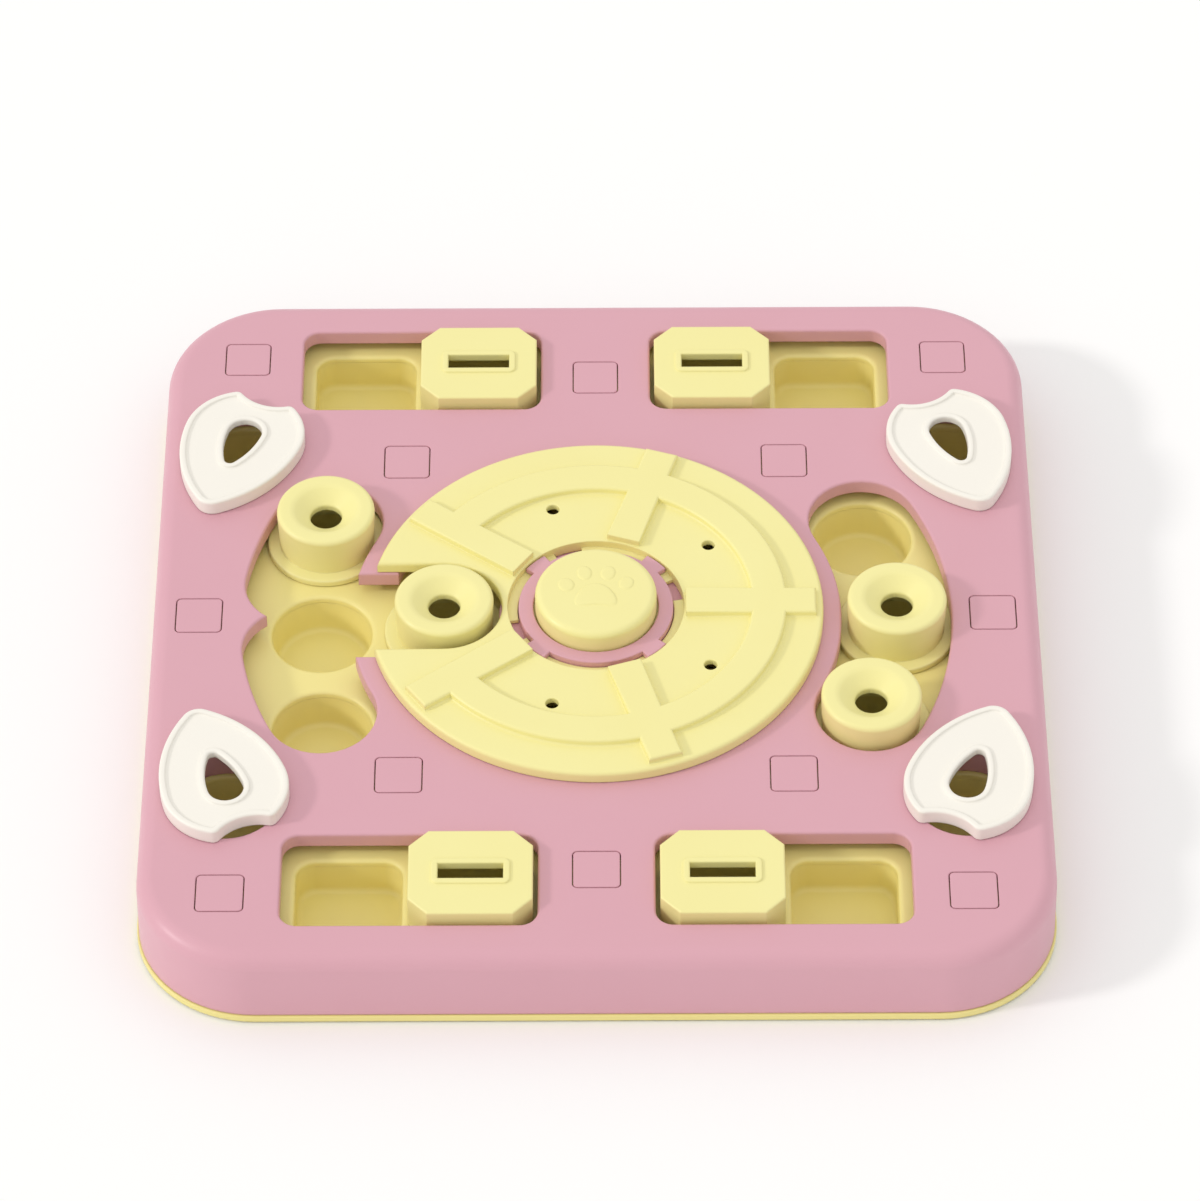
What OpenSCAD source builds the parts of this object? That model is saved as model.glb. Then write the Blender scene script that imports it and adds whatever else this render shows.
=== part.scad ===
// Slow feeder puzzle board for dogs: a pink cover shell over a yellow treat tray, with a turning
// disc, four round pucks, four box sliders, four swivel lids and a squeaker button.
// Origin on the floor under the middle of the board, +Z up, the dog's side at -Y.

/* [Board] */
// Width of the board over the tray's rim
board_w = 284; // [280:1:300]
// Depth of the board over the tray's rim
board_d = 290; // [286:1:306]
// Radius of the board's corners, seen from above, at the rim
board_corner_r = 37.5; // [30:0.5:39]
// Height of the cover's top face above the floor
board_h = 28; // [27.5:0.5:33]
// Thickness of the cover's top plate
cover_t = 2.6; // [2.2:0.1:3.2]
// Thickness of the cover's outer skirt
skirt_t = 2.4; // [2:0.1:3]
// Radius of the rounded edge between the cover's top and its skirt
top_edge_r = 5.5; // [4.5:0.5:7]
// How far the skirt leans in between its foot and the rounded edge
skirt_lean = 0.3; // [0.1:0.1:1.2]
// How far the lips round the cover's openings hang below its top face
lip_h = 5.2; // [4.6:0.1:5.4]
// Wall thickness of those lips
lip_t = 2.2; // [1.6:0.1:2.4]

/* [Tray] */
// Height of the tray's rim, the yellow line under the cover
rim_h = 2.2; // [1.6:0.1:3]
// How far the rim stands out beyond the cover's foot
rim_step = 0.6; // [0.4:0.1:1.5]
// Height of the tray's deck above the floor
deck_z = 19; // [18.6:0.1:19.4]
// Thickness of the tray's deck
deck_t = 2.2; // [1.8:0.1:2.6]
// Depth of the treat wells below the deck
well_depth = 13.6; // [11:0.1:14]
// Wall and floor thickness of the wells
well_t = 1.8; // [1.4:0.1:2.2]
// Radius of a round well at the deck
well_r = 16; // [14:0.1:16.4]
// How much a round well narrows down to its floor
well_draft = 0.9; // [0.3:0.1:1.2]
// Radius of the wells under the turning disc
disc_well_r = 14.4; // [12:0.1:14.8]
// Thickness of the tray's skirt
tray_skirt_t = 2; // [1.6:0.1:2.6]

/* [Puck lanes] */
// Radius of the middle of the puck lanes about the board's centre
lane_r = 95.6; // [95:0.1:96.2]
// Half the width of a puck lane
lane_half = 17.45; // [17.2:0.05:17.8]
// Angle from the board's cross axis to the last well of a lane
lane_end_deg = 25.7; // [25.4:0.1:26.2]
// Half the width of the corridor from the left lane to the disc
corridor_half = 18; // [17.6:0.1:18.6]
// Half the angle between the two arcs that meet in the left lane's cusp
cusp_deg = 8.5; // [8.3:0.1:8.8]
// Distance of the left lane's middle well from the board's centre
mid_well_x = 87.4; // [87.2:0.1:87.6]

/* [Pucks] */
// Radius of a puck's head at its top
puck_r = 15.8; // [15:0.05:15.9]
// Height of a puck's top above the cover
puck_rise = 7.5; // [6.5:0.1:9]
// Radius of the flange that keeps a puck under the cover
puck_flange_r = 19.2; // [18.6:0.1:19.3]
// Thickness of that flange
puck_flange_t = 2.1; // [1.6:0.1:2.3]
// Radius of the scent hole in a puck
puck_hole_r = 5.1; // [4:0.1:6]
// Radius of the funnel round the hole, at the puck's top
puck_funnel_r = 10.7; // [9.5:0.1:11.5]
// Depth of the funnel
puck_funnel_depth = 3.9; // [3:0.1:4.5]
// Wall thickness of a puck
puck_wall = 2; // [1.6:0.1:2.4]

/* [Turning disc] */
// Radius of the disc
disc_r = 72.3; // [71.5:0.1:74]
// Height of the disc's lower face above the cover's top
disc_rise = 4.2; // [3.9:0.1:4.8]
// Height of the raised ribs above the lower face
rib_rise = 2.3; // [1.4:0.1:2.8]
// Width of the five radial ribs
spoke_w = 10.8; // [9:0.1:12]
// Inner radius of the ring rib
ring_rib_r0 = 49.6; // [48.8:0.1:51]
// Outer radius of the ring rib
ring_rib_r1 = 60.6; // [58:0.1:62]
// Distance of the outer end of the radial ribs from the centre
spoke_end_r = 70; // [67:0.1:71]
// Radius of the notch that holds a puck
notch_r = 18.4; // [17:0.1:18.8]
// Distance of the notch's round end and of the disc's wells from the centre
station_r = 48.2; // [48:0.1:48.5]
// Radius of the scent holes in the disc
scent_hole_r = 2.1; // [1.5:0.1:3]
// Distance of the scent holes from the centre
scent_hole_at_r = 44.6; // [42.5:0.1:46]
// Radius of the hole in the middle of the disc
disc_bore_r = 28.1; // [28:0.05:28.4]

/* [Hub and button] */
// Radius of the hub's pink ring
hub_r = 24.6; // [24.4:0.05:24.7]
// Height of the hub's ring above the cover's top
hub_rise = 3.7; // [3.6:0.1:4.2]
// Radius over the four bayonet tabs
tab_r = 27.7; // [27.2:0.05:27.8]
// Angle that one bayonet tab takes up
tab_deg = 17; // [12:0.5:19]
// Radius of the button
button_r = 19.3; // [18:0.05:19.5]
// Height of the button's top above the cover's top
button_rise = 11; // [10.5:0.1:12]
// How far the button can be pressed
button_travel = 3.5; // [2.5:0.1:4]
// Rounding of the button's upper edge
button_edge_r = 2.2; // [1:0.1:3]

/* [Box sliders] */
// Distance of a slot's inner end from the board's cross axis
slot_x = 18; // [17.8:0.1:18.4]
// Length of a slider slot
slot_len = 78.6; // [78.2:0.1:79]
// Width of a slider slot
slot_w = 36.3; // [36:0.1:36.6]
// Distance of a slot's middle line from the board's centre
slot_y = 111.35; // [111:0.05:111.7]
// Corner radius of a slot
slot_corner_r = 5.5; // [4:0.1:7]
// Length of a slider's block along the slot
block_len = 38.2; // [37.6:0.1:38.4]
// Height of a slider's top above the cover
block_rise = 3.5; // [3:0.1:5]
// Cut of the block's four upright corners
block_cut = 6; // [4:0.1:8]
// Length of the scent slot in a slider
scent_slot_len = 20; // [14:0.5:24]
// Width of the scent slot
scent_slot_w = 5.9; // [4.5:0.1:7]
// Length of a rectangular well along the slot
box_well_len = 33; // [30:0.1:33.6]
// Width of a rectangular well
box_well_w = 30; // [27:0.1:31]
// Corner radius of a rectangular well
box_well_corner_r = 6; // [4:0.1:8]

/* [Swivel lids] */
// Distance of a corner well from the board's long axis
corner_well_x = 114.7; // [114.4:0.1:115]
// Distance of a corner well from the board's cross axis
corner_well_y = 77; // [76.6:0.1:77.4]
// Radius of the round opening in the cover over a corner well
corner_opening_r = 17.1; // [16.6:0.1:17.6]
// Radius of a lid's round end
lid_r = 19.8; // [19:0.1:20.4]
// Radius of a lid's tip
lid_tip_r = 5.6; // [5.4:0.1:6.5]
// Distance from a lid's round end to its tip, between the centres
lid_reach = 28.2; // [27.8:0.1:28.6]
// Radius of a lid's bulging sides
lid_side_r = 43; // [38:0.5:60]
// Height of a lid's rim above the cover
lid_rise = 5.3; // [4.6:0.1:6]
// Direction from a lid's round end to its tip
lid_axis_deg = 109.2; // [108:0.2:111]
// Radius of the bite cut out of a lid's round end
bite_r = 15; // [12:0.5:18]
// Distance from the round end's centre to the bottom of the bite
bite_at = 14.4; // [13:0.1:16]
// Rounding of the two corners beside the bite
bite_corner_r = 2.4; // [2.2:0.1:2.8]
// How far the bite lies off the lid's own axis
bite_shift = 1.4; // [0:0.1:2]
// Radius of the round end of a lid's hole
lid_hole_r = 5.6; // [5:0.1:6]
// Radius of the pointed end of a lid's hole
lid_hole_tip_r = 1.9; // [1.2:0.1:2.5]
// Distance between the two ends of a lid's hole
lid_hole_reach = 13; // [11:0.1:13.5]

/* [Lock plugs and feet] */
// Side of a square lock plug
plug_w = 14.3; // [13:0.1:14.8]
// Distance of the corner plugs from the centre, along X and Y
corner_plug_xy = [115, 116.6];
// Distance of the inner plugs from the centre, along X and Y
inner_plug_xy = [61.4, 68.5];
// Distance of the front and back plugs from the centre
front_plug_y = 107.6; // [107:0.1:108]
// Distance of the side plugs from the centre
side_plug_x = 126.3; // [126:0.1:126.6]
// Radius of a rubber foot
foot_r = 8.5; // [7:0.1:9]
// How far the feet lift the tray off the floor
foot_lift = 0.8; // [0.6:0.1:1.2]

/* [Clearances] */
// Gap under and over sliding faces
slide_gap = 0.3; // [0.2:0.05:0.4]
// Gap between the cover and what fills its square windows
window_gap = 0.35; // [0.2:0.05:0.45]
// Gap between a bore and the post that turns in it
turn_gap = 0.2; // [0.1:0.05:0.25]
// Gap between the tray's skirt and the cover's
shell_gap = 0.5; // [0.3:0.1:0.8]

/* [Hidden] */
$fn = 96;

// Colours of the moulded and other materials
pink = [0.87, 0.66, 0.71];
yellow = [0.96, 0.93, 0.65];
white = [0.98, 0.98, 0.95];
rubber_grey = [0.35, 0.35, 0.36];
steel = [0.72, 0.72, 0.74];

// One overrun lets every cut pass its faces
over = 1;
// Steps in a rounded edge and in an outline's arc
edge_steps = 8;
arc_steps = 20;

// Stations of the disc: its wells, its radial ribs and its scent holes
stations = 5;
station_deg = 360 / stations;

// Levels, from the floor up
top_z = board_h;
plate_z = top_z - cover_t;
lip_z = top_z - lip_h;
flange_z = deck_z + slide_gap;
flange_top = flange_z + puck_flange_t;
well_z = deck_z - well_depth;
rim_top = foot_lift + rim_h;
slide_z = top_z + slide_gap;

// Plan of the board: corner centres, and distances outwards from them
corner = [board_w / 2 - board_corner_r, board_d / 2 - board_corner_r];
foot_d = board_corner_r - rim_step;
edge_d = foot_d - skirt_lean;
plate_d = edge_d - top_edge_r;
tray_d = edge_d - skirt_t - shell_gap;

// Disc and hub
rib_z = top_z + disc_rise;
disc_skirt_t = 2.4;
disc_lip_t = 1.3;
disc_shell_t = 2.2;
spoke_start = 0.5;
hub_wall = 2;
hub_flange_t = 1.6;
hub_plate_r = station_r - lane_half;
channel_r = station_r + lane_half;
bowl_rim_w = 3;
bowl_gap = 0.1;
bowl_r = channel_r + bowl_rim_w;
deck_margin = 2;
deck_seam_out = 0.5;
lane_deck_half = lane_r * sin(lane_end_deg) + lane_half + deck_seam_out;
hub_lip_t = 2.2;
hub_top = top_z + hub_rise;
boss_gap = 1.2;
boss_r = hub_plate_r - hub_lip_t - boss_gap;
boss_t = 2.2;
tab_turn_deg = 45;
bayonet_turn_deg = -26;
hub_cup_depth = 4;
cup_floor_z = deck_z - hub_cup_depth;
cup_floor_t = 2;
boss_web_drop = 6.5;
boss_web_z = cup_floor_z - boss_web_drop;
boss_web_t = 2.2;
tab_notch_play_deg = 2;
hub_screw_at_r = 15;
hub_screw_count = 3;
post_r = 3.4;
screw_r = 1.3;
screw_gap = 0.05;
screw_hole_play = 0.6;
button_play = 0.6;
screw_head_r = 2.8;
screw_head_t = 2;
button_wall = 2;
button_flange_t = 2.3;
button_flange_w = 2.6;
plunger_r = 7;
bellows_r = 14;
bellows_wall = 1.4;
bellows_folds = 3;
bellows_neck_share = 0.78;
reed_r = 5;
reed_h = 3.2;

// Puck
puck_edge_r = 1.6;
puck_taper = 0.5;
puck_top = top_z + puck_rise;
// The top left puck's path: an arc through its well and the middle well that clears the lane's cusp
path_r = station_r;
path_a = polar(lane_r, 180 - lane_end_deg);
path_b = [-mid_well_x, 0];
path_half = norm(path_a - path_b) / 2;
path_n = [path_a[1] - path_b[1], path_b[0] - path_a[0]] / (2 * path_half);
path_c = (path_a + path_b) / 2 + sqrt(path_r * path_r - path_half * path_half) * path_n;
path_rest_deg = 2;

// Slider
block_side_gap = 1.4;
block_end_gap = 1.4;
block_w = slot_w - 2 * block_side_gap;
block_wall = 2.2;
runner_w = 2.4;
runner_t = 2.1;
frame_w = 2.1;
frame_rise = 0.7;

// Lid
lid_rim_w = 2;
lid_dish = 0.8;
lid_collar_w = 1.9;
lid_hole_side_r = 28;
lid_hole_back = 0.6;
lid_wall = 1.8;
pivot_post_r = 3.9;
pivot_clear = 0.5;
lid_screw_head_r = 4.8;
lid_screw_head_t = 1.6;
lid_screw_grip = 4.6;

// Plugs and their sockets
socket_wall = 1.85;
socket_w = plug_w + 2 * socket_wall;
stem_w = 10.4;
stem_gap = 0.12;
barb_out = 0.7;
barb_h = 2.2;
plug_corner_r = 1.4;

// Feet
foot_pocket = 1.2;
foot_wall = 2.2;
foot_at = tray_d - foot_r - foot_wall;

// Points of an arc about c, from angle a0 to a1
function arc(c, r, a0, a1, n) =
    [for (i = [0 : n]) let (a = a0 + (a1 - a0) * i / n) [c[0] + r * cos(a), c[1] + r * sin(a)]];

// Polar place
function polar(r, a) = [r * cos(a), r * sin(a)];

// Cover's skirt in section, measured outwards from a corner centre: leaning face and rounded edge
function skirt_section(t) = concat(
    [[foot_d, rim_top + slide_gap]],
    arc([edge_d - top_edge_r, top_z - top_edge_r], top_edge_r, 0, 90, edge_steps),
    arc([edge_d - top_edge_r, top_z - top_edge_r], top_edge_r - t, 90, 0, edge_steps),
    [[foot_d - t, rim_top + slide_gap]]);

// Egg outline along +X: a round end at the origin, a tip at reach, and bulging sides between them
function egg(r0, r1, reach, side, grow, bitten = false) =
    let (a = (pow(side - r0, 2) - pow(side - r1, 2) + reach * reach) / (2 * reach),
         b = sqrt(pow(side - r0, 2) - a * a),
         turn0 = atan2(b, -a),
         turn1 = atan2(b, reach - a))
    concat(
        arc([reach, 0], r1 + grow, -turn1, turn1, arc_steps),
        arc([a, -b], side + grow, turn1, turn0, arc_steps),
        bitten ? bitten_end(turn0, -grow) : arc([0, 0], r0 + grow, turn0, 360 - turn0, 3 * arc_steps),
        arc([a, b], side + grow, -turn0, -turn1, arc_steps));

// Round end of a lid with the bite taken out and its two corners rounded, drawn in by g
function bitten_end(turn0, g) =
    let (bite = [-bite_at - bite_r, -bite_shift],
         out = lid_r - bite_corner_r,
         into = bite_r + bite_corner_r,
         d = norm(bite),
         along = (d * d + out * out - into * into) / (2 * d),
         off = sqrt(out * out - along * along),
         left = (along * bite - off * [-bite[1], bite[0]]) / d,
         right = (along * bite + off * [-bite[1], bite[0]]) / d,
         left_deg = atan2(left[1], left[0]),
         right_deg = 360 + atan2(right[1], right[0]),
         left_in = 360 + atan2(bite[1] - left[1], bite[0] - left[0]),
         right_in = atan2(bite[1] - right[1], bite[0] - right[0]))
    concat(
        arc([0, 0], lid_r - g, turn0, left_deg, arc_steps),
        arc(left, bite_corner_r - g, left_deg, left_in, edge_steps),
        arc(bite, bite_r + g, left_in - 180, right_in - 180, arc_steps),
        arc(right, bite_corner_r - g, right_in, right_deg, edge_steps),
        arc([0, 0], lid_r - g, right_deg, 360 - turn0, arc_steps));

// Sweeps an upright section round the board's rounded outline
module round_the_board() {
    for (q = [0 : 3]) rotate(90 * q) translate([corner[q % 2], corner[1 - q % 2], 0]) {
        rotate_extrude(angle = 90) children();
        rotate([90, 0, 0]) linear_extrude(2 * corner[1 - q % 2]) children();
    }
}

// Rounded rectangle with its middle at the origin
module round_rect(w, d, r) {
    square([w - 2 * r, d], center = true);
    square([w, d - 2 * r], center = true);
    for (x = [-1, 1], y = [-1, 1]) translate([x * (w / 2 - r), y * (d / 2 - r)]) circle(r);
}

// Board's plan at distance d outwards from the corner centres
module board_plan(d) {
    round_rect(2 * (corner[0] + d), 2 * (corner[1] + d), d);
}

// Copies for the four quarters of the board
module quarters() {
    for (x = [0, 1], y = [0, 1]) mirror([x, 0, 0]) mirror([0, y, 0]) children();
}

// Places of the lock plugs
module at_plugs() {
    quarters() translate(corner_plug_xy) children();
    quarters() translate(inner_plug_xy) children();
    for (s = [-1, 1]) {
        translate([0, s * front_plug_y]) children();
        translate([s * side_plug_x, 0]) children();
    }
}

// Places of the rubber feet
module at_feet() {
    quarters() translate(corner + polar(foot_at, 45)) children();
}

// Curved lane on the right side in one closed outline, widened by g
module lane(g, end_deg) {
    step = 180 / arc_steps;
    polygon(concat(
        arc([0, 0], lane_r + lane_half + g, -end_deg, end_deg, arc_steps),
        arc(polar(lane_r, end_deg), lane_half + g, end_deg + step, end_deg + 180 - step, arc_steps - 2),
        arc([0, 0], lane_r - lane_half - g, end_deg, -end_deg, arc_steps),
        arc(polar(lane_r, -end_deg), lane_half + g, 180 - end_deg + step, 360 - end_deg - step,
            arc_steps - 2)));
}

// Left lane: two arcs that meet in a cusp beside the middle well
module split_lane(g) {
    middle = (cusp_deg + lane_end_deg) / 2;
    half = (lane_end_deg - cusp_deg) / 2;
    for (s = [-1, 1]) rotate(180 + s * middle) lane(g, half);
}

// Corridor from the left lane to the ring channel under the disc
module corridor(g) {
    translate([-lane_r + lane_half / 3, -corridor_half - g])
        square([lane_r - lane_half / 3 - station_r, 2 * (corridor_half + g)]);
}

// Slider slot, in the quarter at +X and +Y
module slot(g) {
    translate([slot_x + slot_len / 2, slot_y])
        round_rect(slot_len + 2 * g, slot_w + 2 * g, slot_corner_r + g);
}

// Every large opening in the cover, widened by g
module openings(g) {
    lane(g, lane_end_deg);
    split_lane(g);
    corridor(g);
    circle(channel_r + g);
    quarters() slot(g);
    quarters() translate([corner_well_x, corner_well_y]) circle(corner_opening_r + g);
}

// Places of the wells beside the disc's channel
module at_round_wells() {
    for (a = [-lane_end_deg, 0, lane_end_deg, 180 - lane_end_deg, 180 + lane_end_deg])
        translate(polar(lane_r, a)) children();
    translate([-mid_well_x, 0]) children();
    quarters() translate([corner_well_x, corner_well_y]) children();
}

module at_disc_wells() {
    for (i = [0 : stations - 1]) translate(polar(station_r, 180 + station_deg * i)) children();
}

module at_box_wells() {
    inner = slot_x + block_end_gap + block_len / 2;
    quarters() for (x = [inner, slot_x + slot_len - (inner - slot_x)]) translate([x, slot_y]) children();
}

// Places of the screws under the hub
module at_hub_screws() {
    for (i = [0 : hub_screw_count - 1])
        translate(polar(hub_screw_at_r, 90 + 360 * i / hub_screw_count)) children();
}

// Space inside the treat wells, up through the deck
module round_well_space() translate([0, 0, well_z]) at_round_wells()
    cylinder(r1 = well_r - well_draft, r2 = well_r, h = well_depth);

module disc_well_space() translate([0, 0, well_z]) at_disc_wells()
    cylinder(r1 = disc_well_r - well_draft, r2 = disc_well_r, h = well_depth);

module box_well_space() translate([0, 0, well_z]) at_box_wells() linear_extrude(well_depth + over)
    round_rect(box_well_len, box_well_w, box_well_corner_r);

// Plans of the deck's parts round the wells of the lanes, the slots and the corners
module lane_deck_plan() difference() {
    start = inner_plug_xy[0] - socket_w / 2;
    for (s = [0, 1]) mirror([s, 0, 0]) translate([start, -lane_deck_half])
        square([lane_r + lane_half + deck_margin - start, 2 * lane_deck_half]);
    circle(bowl_r + bowl_gap);
}

module slot_deck_plan() quarters() translate([slot_x - deck_margin, slot_y - slot_w / 2 - deck_margin])
    square([slot_len + 2 * deck_margin, slot_w + 2 * deck_margin]);

module corner_deck_plan() difference() {
    reach = corner_opening_r + deck_margin;
    quarters() translate([corner_well_x - reach, lane_deck_half])
        square([2 * reach, corner_well_y + reach - lane_deck_half]);
    slot_deck_plan();
}

// Tray: the deck's frame, with a round hole for the bowl under the disc
module tray() color(yellow) translate([0, 0, deck_z - deck_t]) linear_extrude(deck_t) difference() {
    board_plan(tray_d);
    circle(bowl_r + bowl_gap);
    lane_deck_plan();
    slot_deck_plan();
    corner_deck_plan();
    at_plugs() square(stem_w + 2 * stem_gap, center = true);
}

// Deck round the wells of the puck lanes
module lane_decks() color(yellow) difference() {
    translate([0, 0, deck_z - deck_t]) linear_extrude(deck_t) lane_deck_plan();
    round_well_space();
}

// Deck round the wells of the slider slots
module slot_decks() color(yellow) difference() {
    translate([0, 0, deck_z - deck_t]) linear_extrude(deck_t) slot_deck_plan();
    box_well_space();
}

// Deck round the wells under the lids
module corner_decks() color(yellow) difference() {
    translate([0, 0, deck_z - deck_t]) linear_extrude(deck_t) corner_deck_plan();
    round_well_space();
}

// Square sockets that the lock plugs go through, between the deck and the cover
module plug_sockets() color(yellow) translate([0, 0, deck_z]) linear_extrude(plate_z - deck_z) at_plugs()
    difference() {
        square(socket_w, center = true);
        square(stem_w + 2 * stem_gap, center = true);
    }

// Bowl under the disc: the deck round the disc's wells, and the boss that the hub is screwed to
module disc_bowl() color(yellow) difference() {
    union() {
        translate([0, 0, deck_z - deck_t]) cylinder(r = bowl_r, h = deck_t);
        translate([0, 0, well_z - well_t]) cylinder(r = boss_r, h = plate_z - well_z + well_t);
    }
    disc_well_space();
    translate([0, 0, boss_web_z + boss_web_t]) cylinder(r = boss_r - boss_t, h = top_z - boss_web_z);
    translate([0, 0, well_z - well_t - over])
        cylinder(r = boss_r - boss_t, h = boss_web_z - well_z + well_t + over);
    translate([0, 0, foot_lift]) at_hub_screws() cylinder(r = screw_r + screw_hole_play, h = top_z);
}

// Tray's skirt, with the yellow rim round the board and the pockets of the feet
module tray_skirt() color(yellow) difference() {
    union() {
        translate([0, 0, foot_lift]) linear_extrude(deck_z - deck_t - foot_lift) difference() {
            board_plan(tray_d);
            board_plan(tray_d - tray_skirt_t);
        }
        translate([0, 0, foot_lift]) linear_extrude(rim_h) difference() {
            board_plan(board_corner_r);
            board_plan(tray_d - tray_skirt_t);
        }
        translate([0, 0, foot_lift]) at_feet() cylinder(r = foot_r + foot_wall, h = foot_pocket + foot_wall);
    }
    at_feet() cylinder(r = foot_r + turn_gap, h = foot_lift + foot_pocket);
}

// Cups of the treat wells, which carry the wells on below the tray's deck
module round_cups() color(yellow) difference() {
    translate([0, 0, well_z - well_t]) at_round_wells()
        cylinder(r = well_r + well_t, h = well_depth + well_t - deck_t);
    round_well_space();
}

module disc_cups() color(yellow) difference() {
    translate([0, 0, well_z - well_t]) at_disc_wells()
        cylinder(r = disc_well_r + well_t, h = well_depth + well_t - deck_t);
    disc_well_space();
}

module box_cups() color(yellow) difference() {
    translate([0, 0, well_z - well_t]) at_box_wells() linear_extrude(well_depth + well_t - deck_t)
        round_rect(box_well_len + 2 * well_t, box_well_w + 2 * well_t, box_well_corner_r + well_t);
    box_well_space();
}

module cover() color(pink) difference() {
    union() {
        round_the_board() polygon(skirt_section(skirt_t));
        translate([0, 0, plate_z]) linear_extrude(cover_t) board_plan(plate_d);
        translate([0, 0, lip_z]) linear_extrude(top_z - lip_z - cover_t / 2) openings(lip_t);
        translate([0, 0, deck_z + slide_gap]) linear_extrude(plate_z - deck_z)
            quarters() translate([corner_well_x, corner_well_y]) circle(corner_opening_r + lip_t);
    }
    translate([0, 0, foot_lift]) linear_extrude(top_z) openings(0);
    translate([0, 0, plate_z - over]) linear_extrude(cover_t + 2 * over) at_plugs()
        round_rect(plug_w + 2 * window_gap, plug_w + 2 * window_gap, plug_corner_r + window_gap);
    translate([0, 0, plate_z - over]) quarters() at_lid_pivot()
        cylinder(r = pivot_post_r + turn_gap, h = cover_t + 2 * over);
}

// Square plugs that snap through the cover's windows and the tray's sockets
module lock_plugs() color(pink) at_plugs() {
    stem_z = deck_z - deck_t - slide_gap - barb_h;
    translate([0, 0, plate_z]) linear_extrude(cover_t) round_rect(plug_w, plug_w, plug_corner_r);
    translate([0, 0, stem_z]) linear_extrude(plate_z - stem_z) square(stem_w, center = true);
    for (s = [0, 1]) mirror([s, 0, 0]) translate([stem_w / 2, stem_w / 4, stem_z])
        rotate([90, 0, 0]) linear_extrude(stem_w / 2) polygon([[0, 0], [barb_out, barb_h], [0, barb_h]]);
}

module rubber_feet() color(rubber_grey) at_feet() cylinder(r = foot_r, h = foot_lift + foot_pocket);

// The disc's plan, with the notch taken out, widened by g at every edge
module disc_plan(g) {
    difference() {
        circle(disc_r - g);
        circle(disc_bore_r + g);
        translate([-station_r, 0]) circle(notch_r + g);
        translate([-2 * disc_r, -notch_r - g]) square([2 * disc_r - station_r, 2 * (notch_r + g)]);
    }
}

module turning_disc() color(yellow) difference() {
    union() {
        difference() {
            translate([0, 0, slide_z]) linear_extrude(rib_z - slide_z) disc_plan(0);
            translate([0, 0, slide_z - over]) linear_extrude(rib_z - disc_shell_t - slide_z + over)
                disc_plan(disc_skirt_t);
        }
        translate([0, 0, slide_z]) linear_extrude(disc_lip_t) difference() {
            circle(disc_bore_r + disc_skirt_t / 2);
            circle(hub_r + slide_gap);
            for (q = [0 : 3]) rotate(90 * q + tab_turn_deg + bayonet_turn_deg)
                sector(disc_bore_r, tab_deg + tab_notch_play_deg);
        }
        translate([0, 0, rib_z - over]) linear_extrude(rib_rise + over) disc_ribs();
    }
    for (i = [1 : stations - 1]) rotate(180 + station_deg * i) translate([scent_hole_at_r, 0, slide_z - over])
        cylinder(r = scent_hole_r, h = rib_z);
}

// Wedge from the centre, deg wide about +X
module sector(r, deg) {
    intersection() {
        circle(r);
        polygon([[0, 0], polar(2 * r, -deg / 2), polar(2 * r, deg / 2)]);
    }
}

// Plan of the disc's raised ribs: five spokes and a ring that stops at the notch
module disc_ribs() {
    for (i = [0 : stations - 1]) rotate(station_deg * i) translate([disc_bore_r + spoke_start, -spoke_w / 2])
        square([spoke_end_r - disc_bore_r - spoke_start, spoke_w]);
    difference() {
        circle(ring_rib_r1);
        circle(ring_rib_r0);
        polygon([[0, 0], polar(2 * disc_r, 180 - station_deg / 2), polar(2 * disc_r, 180 + station_deg / 2)]);
    }
}

module hub_ring() color(pink) difference() {
    union() {
        translate([0, 0, cup_floor_z - cup_floor_t])
            cylinder(r = boss_r - boss_t - shell_gap, h = plate_z - cup_floor_z + cup_floor_t);
        translate([0, 0, plate_z]) cylinder(r = hub_plate_r, h = cover_t);
        translate([0, 0, lip_z]) difference() {
            cylinder(r = hub_plate_r, h = plate_z - lip_z + cover_t / 2);
            translate([0, 0, -over]) cylinder(r = hub_plate_r - hub_lip_t, h = plate_z - lip_z + over);
        }
        translate([0, 0, plate_z]) cylinder(r = hub_r, h = hub_top - plate_z);
        for (q = [0 : 3]) rotate(90 * q + tab_turn_deg)
            translate([0, 0, slide_z + disc_lip_t + slide_gap])
            linear_extrude(hub_top - slide_z - disc_lip_t - slide_gap) sector(tab_r, tab_deg);
        translate([0, 0, boss_web_z + boss_web_t + turn_gap]) at_hub_screws()
            cylinder(r = post_r, h = cup_floor_z - boss_web_z - boss_web_t - turn_gap);
    }
    translate([0, 0, cup_floor_z])
        cylinder(r = button_r + button_flange_w + shell_gap, h = hub_top - hub_flange_t - cup_floor_z);
    translate([0, 0, cup_floor_z]) cylinder(r = button_r + button_play, h = hub_top);
    translate([0, 0, boss_web_z]) at_hub_screws()
        cylinder(r = screw_r + screw_gap, h = cup_floor_z - cup_floor_t - boss_web_z + cup_floor_t / 2);
}

module hub_screws() color(steel) at_hub_screws() {
    translate([0, 0, boss_web_z]) cylinder(r = screw_r, h = cup_floor_z - cup_floor_t - boss_web_z);
    translate([0, 0, boss_web_z - screw_head_t]) cylinder(r = screw_head_r, h = screw_head_t);
}

module squeaker_button() color(yellow) {
    top = top_z + button_rise;
    flange_top = hub_top - hub_flange_t - slide_gap;
    flange_z = flange_top - button_flange_t;
    rotate_extrude() polygon(concat(
        [[button_r - button_wall, flange_z], [button_r + button_flange_w, flange_z],
         [button_r + button_flange_w, flange_top], [button_r, flange_top]],
        arc([button_r - button_edge_r, top - button_edge_r], button_edge_r, 0, 90, edge_steps),
        [[0, top], [0, flange_z + slide_gap], [plunger_r, flange_z + slide_gap],
         [plunger_r, top - button_wall], [button_r - button_wall, top - button_wall]]));
}

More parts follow.
